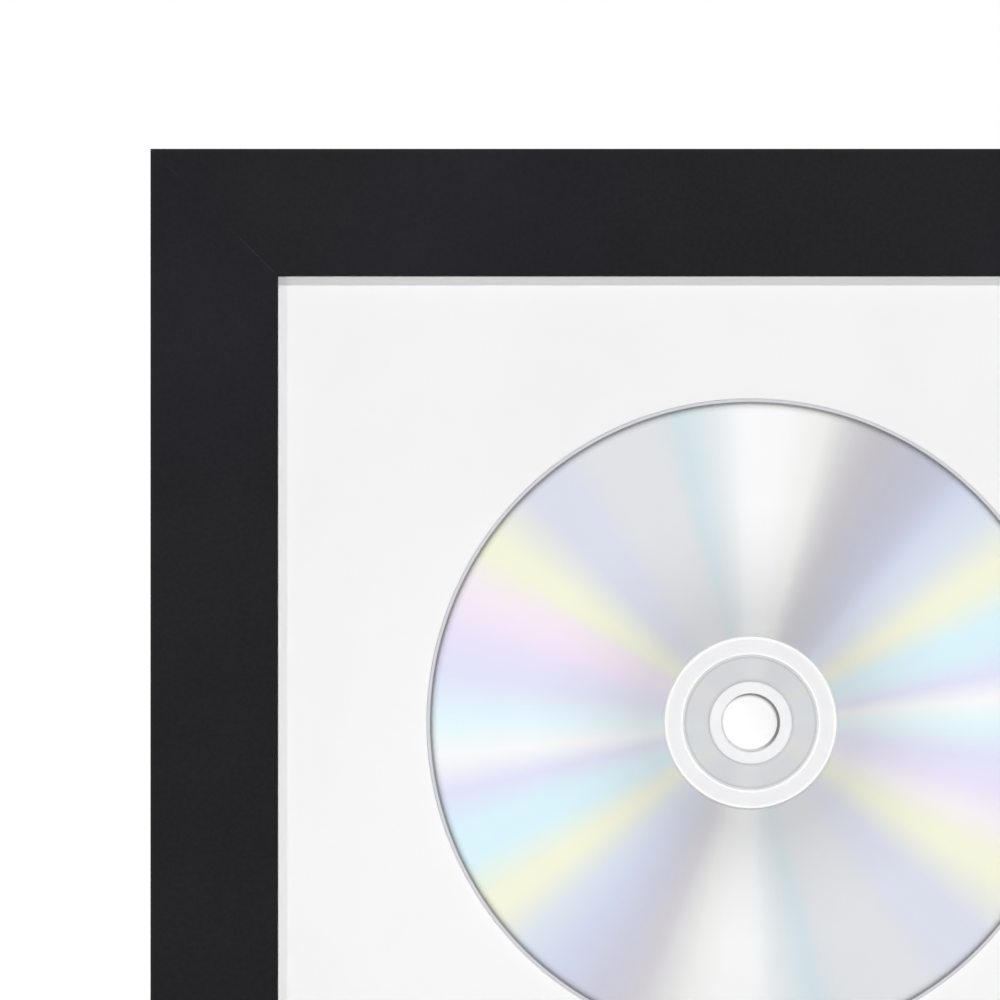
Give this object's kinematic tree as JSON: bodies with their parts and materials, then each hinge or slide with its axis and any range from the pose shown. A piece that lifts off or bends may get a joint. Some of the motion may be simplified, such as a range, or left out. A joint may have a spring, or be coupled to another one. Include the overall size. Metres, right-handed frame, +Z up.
{
  "type": "disc display frame",
  "caption": "Wall frame with mitred black rails, clear glazing and a plain white mat, showing an optical disc held on a snap hub.",
  "frame": {"origin": "centre of the whole block: midway across, midway up, and midway between the rails' front faces and the backs of the bumpers", "axes": "+X to the right as seen from the front, +Y from the front to the wall, +Z up"},
  "size_m": [0.2214, 0.0218, 0.2116],
  "materials": {
    "black_lacquer": "satin black lacquer on the face, sides and lip, bare pine on the back",
    "wedge_steel": "plain strip",
    "clear_acrylic": "clear",
    "white_strip": "matte",
    "mat_paper": "smooth matte",
    "foam_board": "matte",
    "hardboard": "pressed fibre, screen-marked back",
    "disc_silver": "silvered polycarbonate with pale colour bands",
    "hub_plastic": "milky satin",
    "adhesive_pad": "matte",
    "zinc_plate": "zinc-plated",
    "screw_steel": "bright zinc",
    "hanger_brass": "brass-plated",
    "bumper_rubber": "matte"
  },
  "bodies": {
    "frame": {"frame_rail_top": "black_lacquer", "frame_rail_right": "black_lacquer", "frame_rail_bottom": "black_lacquer", "frame_rail_left": "black_lacquer", "corner_wedge_top_left": "wedge_steel", "corner_wedge_top_right": "wedge_steel", "corner_wedge_bottom_right": "wedge_steel", "corner_wedge_bottom_left": "wedge_steel", "glazing": "clear_acrylic", "spacer_top": "white_strip", "spacer_bottom": "white_strip", "spacer_left": "white_strip", "spacer_right": "white_strip", "mat_board": "mat_paper", "mounting_board": "foam_board", "backing_board": "hardboard", "disc_hub": "hub_plastic", "hub_adhesive_pad": "adhesive_pad", "button_screw_top_left": "screw_steel", "button_screw_top_right": "screw_steel", "button_screw_right": "screw_steel", "button_screw_bottom_right": "screw_steel", "button_screw_bottom_left": "screw_steel", "button_screw_left": "screw_steel", "sawtooth_hanger": "hanger_brass", "hanger_nail_left": "hanger_brass", "hanger_nail_right": "hanger_brass", "wall_bumper_left": "bumper_rubber", "wall_bumper_right": "bumper_rubber"},
    "disc": {"disc": "disc_silver"},
    "button_top_left": {"turn_button_top_left": "zinc_plate"},
    "button_top_right": {"turn_button_top_right": "zinc_plate"},
    "button_right": {"turn_button_right": "zinc_plate"},
    "button_bottom_right": {"turn_button_bottom_right": "zinc_plate"},
    "button_bottom_left": {"turn_button_bottom_left": "zinc_plate"},
    "button_left": {"turn_button_left": "zinc_plate"}
  },
  "joints": [
    {"name": "disc_on_hub", "type": "hinge", "parent": "frame", "child": "disc", "pos_m": [0, -0.0026, 0], "axis": [0, 1, 0], "continuous": true},
    {"name": "button_top_left_turn", "type": "hinge", "parent": "frame", "child": "button_top_left", "pos_m": [-0.05368, 0.008, 0.0971], "axis": [0, 1, 0], "range_deg": [-90, 90]},
    {"name": "button_top_right_turn", "type": "hinge", "parent": "frame", "child": "button_top_right", "pos_m": [0.05368, 0.008, 0.0971], "axis": [0, 1, 0], "range_deg": [-90, 90]},
    {"name": "button_right_turn", "type": "hinge", "parent": "frame", "child": "button_right", "pos_m": [0.102, 0.008, 0], "axis": [0, 1, 0], "range_deg": [-90, 90]},
    {"name": "button_bottom_right_turn", "type": "hinge", "parent": "frame", "child": "button_bottom_right", "pos_m": [0.05368, 0.008, -0.0971], "axis": [0, 1, 0], "range_deg": [-90, 90]},
    {"name": "button_bottom_left_turn", "type": "hinge", "parent": "frame", "child": "button_bottom_left", "pos_m": [-0.05368, 0.008, -0.0971], "axis": [0, 1, 0], "range_deg": [-90, 90]},
    {"name": "button_left_turn", "type": "hinge", "parent": "frame", "child": "button_left", "pos_m": [-0.102, 0.008, 0], "axis": [0, 1, 0], "range_deg": [-90, 90]}
  ]
}
